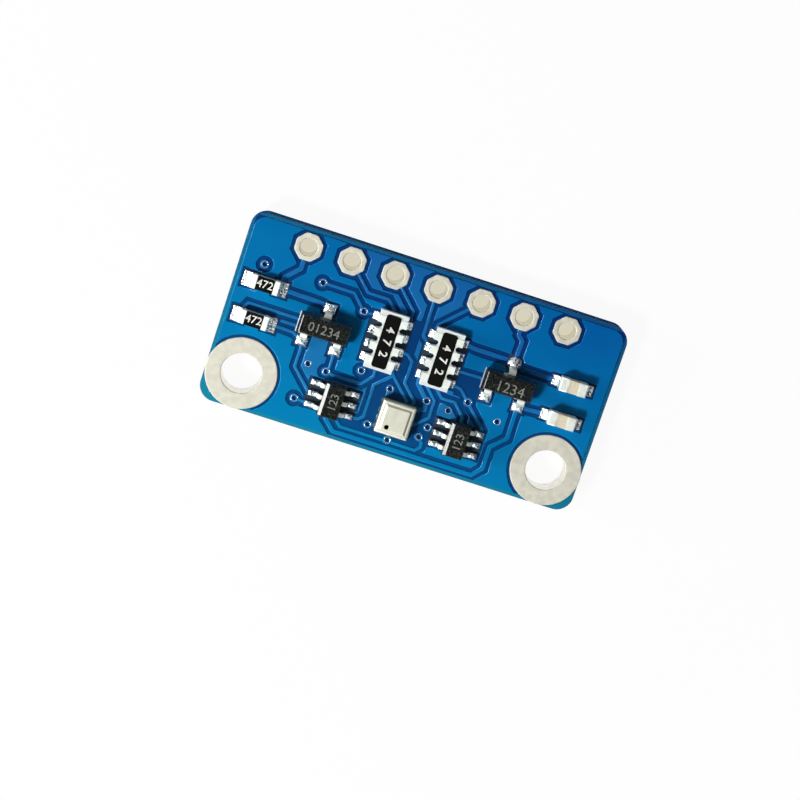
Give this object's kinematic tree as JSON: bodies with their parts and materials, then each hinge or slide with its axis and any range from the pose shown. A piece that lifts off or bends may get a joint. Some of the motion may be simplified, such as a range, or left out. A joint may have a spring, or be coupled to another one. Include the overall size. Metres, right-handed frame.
{
  "type": "pressure sensor module",
  "caption": "Small blue circuit board with a lidded air-pressure sensor, surface-mounted parts, a row of header holes and two plated fixing holes.",
  "frame": {"origin": "middle of the underside of the board, at the lowest copper", "axes": "+X along the board and its header row, +Y across the board towards the header row, +Z out of the face that carries the parts"},
  "size_m": [0.0222, 0.011, 0.0027],
  "materials": {
    "laminate": "blue solder mask over glass-epoxy laminate",
    "masked_copper": "blue solder mask over copper",
    "via_copper": "copper barrel under blue solder mask",
    "tinned_copper": "hot-air-levelled tin on copper",
    "solder": "bright reflowed solder",
    "plated_terminal": "plated matt tin",
    "glass_coat": "black printed glass",
    "alumina": "white fired alumina",
    "capacitor_ceramic": "tan fired ceramic",
    "moulding": "black moulded epoxy",
    "lead_frame": "tin-plated stamped leads",
    "sensor_base": "green laminate",
    "lid_steel": "drawn nickel-silver sheet",
    "silicon": "polished silicon",
    "bond_wire": "drawn gold wire"
  },
  "bodies": {
    "root": {"laminate": "laminate", "top_copper": "masked_copper", "bottom_copper": "masked_copper", "via_barrels": "via_copper", "fixing_ring_left": "tinned_copper", "fixing_ring_right": "tinned_copper", "header_pad_1": "tinned_copper", "header_pad_2": "tinned_copper", "header_pad_3": "tinned_copper", "header_pad_4": "tinned_copper", "header_pad_5": "tinned_copper", "header_pad_6": "tinned_copper", "header_pad_7": "tinned_copper", "resistor_1_ceramic": "alumina", "resistor_1_coat": "glass_coat", "resistor_1_terminals": "plated_terminal", "resistor_1_solder": "solder", "resistor_2_ceramic": "alumina", "resistor_2_coat": "glass_coat", "resistor_2_terminals": "plated_terminal", "resistor_2_solder": "solder", "array_1_ceramic": "alumina", "array_1_coat": "glass_coat", "array_1_terminals": "plated_terminal", "array_1_solder": "solder", "array_2_ceramic": "alumina", "array_2_coat": "glass_coat", "array_2_terminals": "plated_terminal", "array_2_solder": "solder", "capacitor_1_ceramic": "capacitor_ceramic", "capacitor_1_caps": "plated_terminal", "capacitor_1_solder": "solder", "capacitor_2_ceramic": "capacitor_ceramic", "capacitor_2_caps": "plated_terminal", "capacitor_2_solder": "solder", "transistor_body": "moulding", "transistor_leads": "lead_frame", "transistor_solder": "solder", "regulator_body": "moulding", "regulator_leads": "lead_frame", "regulator_solder": "solder", "shifter_1_body": "moulding", "shifter_1_leads": "lead_frame", "shifter_1_solder": "solder", "shifter_2_body": "moulding", "shifter_2_leads": "lead_frame", "shifter_2_solder": "solder", "sensor_base": "sensor_base", "sensor_lid": "lid_steel", "sensor_die": "silicon", "sensor_chip": "silicon", "sensor_wires": "bond_wire", "sensor_solder": "solder"}
  },
  "joints": []
}
